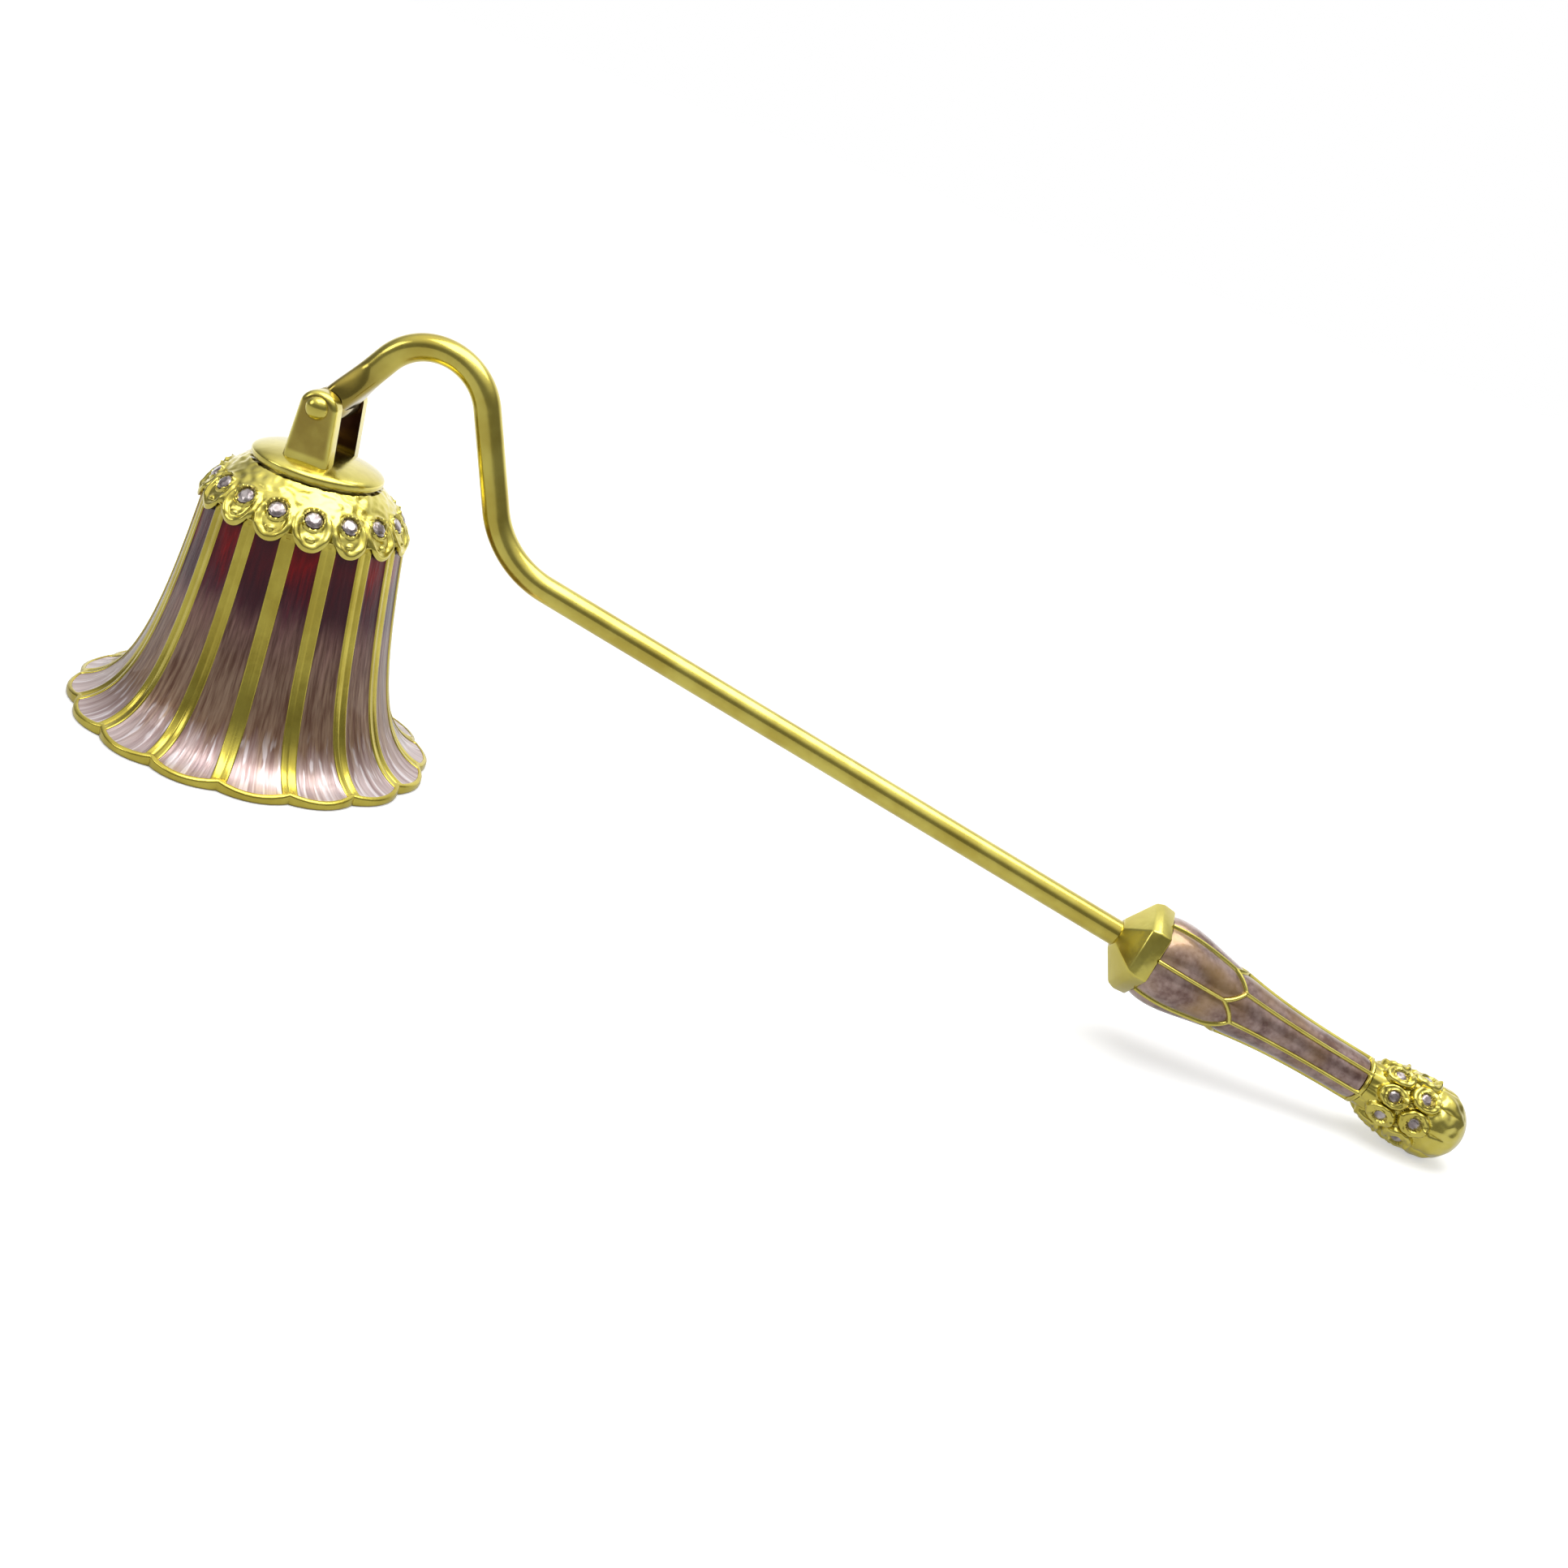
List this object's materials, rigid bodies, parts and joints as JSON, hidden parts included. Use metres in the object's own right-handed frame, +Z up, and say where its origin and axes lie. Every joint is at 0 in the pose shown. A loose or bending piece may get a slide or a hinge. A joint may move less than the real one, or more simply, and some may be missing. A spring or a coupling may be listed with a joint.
{
  "type": "candle snuffer",
  "caption": "Candle snuffer: a ribbed, flared bell with a scalloped rim, hinged to a gooseneck arm with a faceted, enamelled, knob-ended handle, for putting out a candle flame",
  "frame": {"origin": "Centre of the bell's mouth, on the plane of its rim, which is the surface that the snuffer rests on", "axes": "+Z up along the bell's axis; +X towards the handle, which lies in the plane Y = 0; +Y completes a right-handed frame"},
  "size_m": [0.2037, 0.048, 0.0615],
  "materials": {
    "gilt_metal": "polished gold plate, slightly greenish",
    "bell_enamel": "glossy translucent plum enamel, ruby towards the top and pearly at the flare",
    "petal_enamel": "glossy brown mauve enamel",
    "long_enamel": "glossy plum enamel",
    "crystal": "faceted, foil backed, lilac grey"
  },
  "bodies": {
    "handle_side": {"arm": "gilt_metal", "handle_ferrule": "gilt_metal", "handle_body": "gilt_metal", "petal_enamel_1": "petal_enamel", "petal_enamel_2": "petal_enamel", "petal_enamel_3": "petal_enamel", "petal_enamel_4": "petal_enamel", "petal_enamel_5": "petal_enamel", "petal_enamel_6": "petal_enamel", "long_enamel_1": "long_enamel", "long_enamel_2": "long_enamel", "long_enamel_3": "long_enamel", "long_enamel_4": "long_enamel", "long_enamel_5": "long_enamel", "long_enamel_6": "long_enamel", "end_knob": "gilt_metal", "knob_crystals_neck_row": "crystal", "knob_crystals_end_row": "crystal"},
    "bell_side": {"bell_shell": "gilt_metal", "bell_enamel_01": "bell_enamel", "bell_enamel_02": "bell_enamel", "bell_enamel_03": "bell_enamel", "bell_enamel_04": "bell_enamel", "bell_enamel_05": "bell_enamel", "bell_enamel_06": "bell_enamel", "bell_enamel_07": "bell_enamel", "bell_enamel_08": "bell_enamel", "bell_enamel_09": "bell_enamel", "bell_enamel_10": "bell_enamel", "bell_enamel_11": "bell_enamel", "bell_enamel_12": "bell_enamel", "bell_enamel_13": "bell_enamel", "bell_enamel_14": "bell_enamel", "bell_enamel_15": "bell_enamel", "bell_enamel_16": "bell_enamel", "leaf_collar": "gilt_metal", "collar_crystal_01": "crystal", "collar_crystal_02": "crystal", "collar_crystal_03": "crystal", "collar_crystal_04": "crystal", "collar_crystal_05": "crystal", "collar_crystal_06": "crystal", "collar_crystal_07": "crystal", "collar_crystal_08": "crystal", "collar_crystal_09": "crystal", "collar_crystal_10": "crystal", "collar_crystal_11": "crystal", "collar_crystal_12": "crystal", "collar_crystal_13": "crystal", "collar_crystal_14": "crystal", "collar_crystal_15": "crystal", "collar_crystal_16": "crystal", "hinge_cap": "gilt_metal", "hinge_pin": "gilt_metal"}
  },
  "joints": [
    {"name": "bell_swing", "type": "hinge", "parent": "handle_side", "child": "bell_side", "pos_m": [0, 0, 0.0482], "axis": [0, 1, 0], "range_deg": [-30, 120]}
  ]
}
